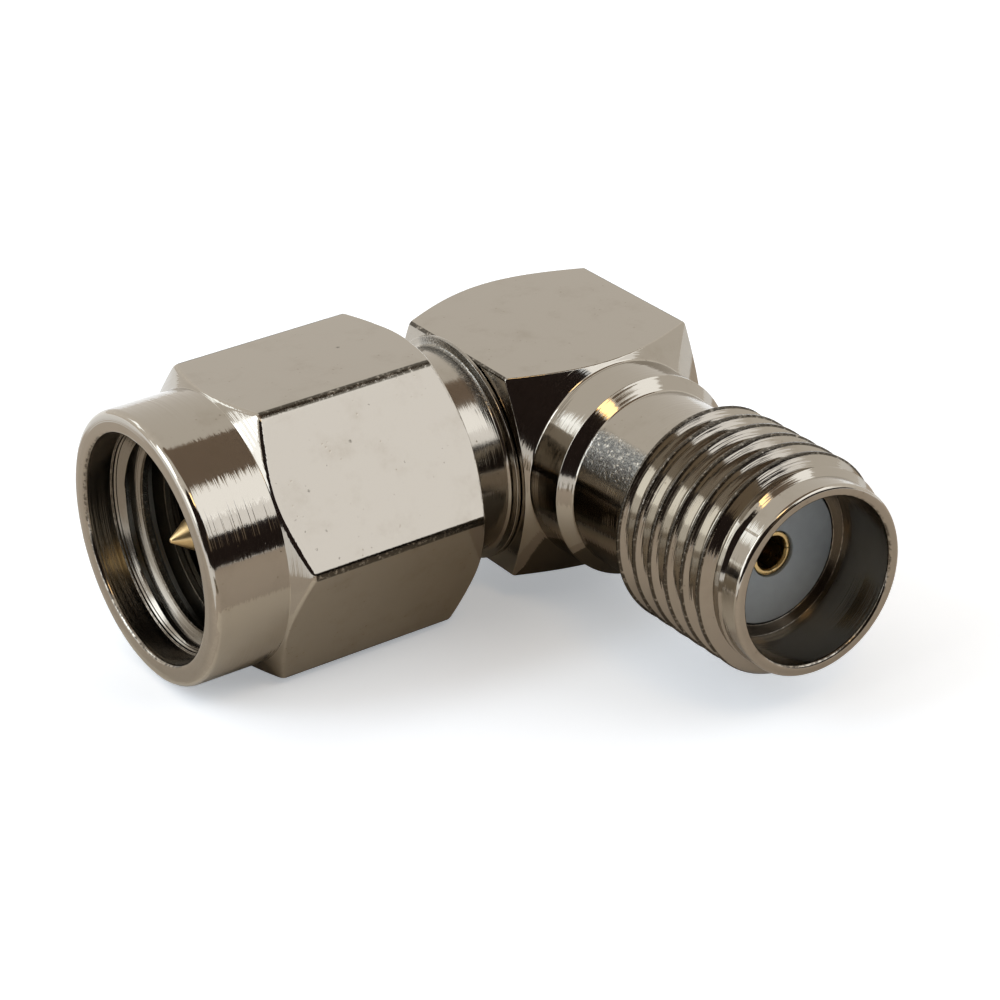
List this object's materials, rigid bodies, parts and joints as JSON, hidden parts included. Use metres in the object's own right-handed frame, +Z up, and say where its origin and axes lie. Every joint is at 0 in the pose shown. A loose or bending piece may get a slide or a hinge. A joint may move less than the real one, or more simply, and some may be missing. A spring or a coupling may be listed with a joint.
{
  "type": "right-angle coax adapter",
  "caption": "Right-angle coaxial adapter with a plug in a captive hexagonal coupling nut and an externally threaded jack.",
  "frame": {"origin": "middle of the block's underside, straight below the crossing of the two port axes", "axes": "+Z up through the block, the plug's axis points to -X and the jack's axis points to -Y, both 3.1 mm above the origin"},
  "size_m": [0.0164, 0.0172, 0.0082],
  "materials": {
    "nickel_block": "bright nickel plate over brass",
    "nickel_nut": "bright nickel plate over brass",
    "bronze_ring": "bare spring bronze",
    "silicone": "matt red-brown silicone",
    "ptfe": "white PTFE",
    "gold": "gold plate over bronze"
  },
  "bodies": {
    "adapter": {"body_block": "nickel_block", "rear_cap": "nickel_block", "male_shell": "nickel_block", "gasket": "silicone", "male_insulator": "ptfe", "female_insulator": "ptfe", "centre_pin": "gold", "socket_contact": "gold"},
    "ring": {"retaining_ring": "bronze_ring"},
    "nut": {"coupling_nut": "nickel_nut"}
  },
  "joints": [
    {"name": "nut_float", "type": "slide", "parent": "adapter", "child": "ring", "axis": [-1, 0, 0], "range_m": [-0.00012, 0.00012]},
    {"name": "nut_spin", "type": "hinge", "parent": "ring", "child": "nut", "pos_m": [-0.0063, 0, 0.0031], "axis": [-1, 0, 0], "continuous": true}
  ]
}
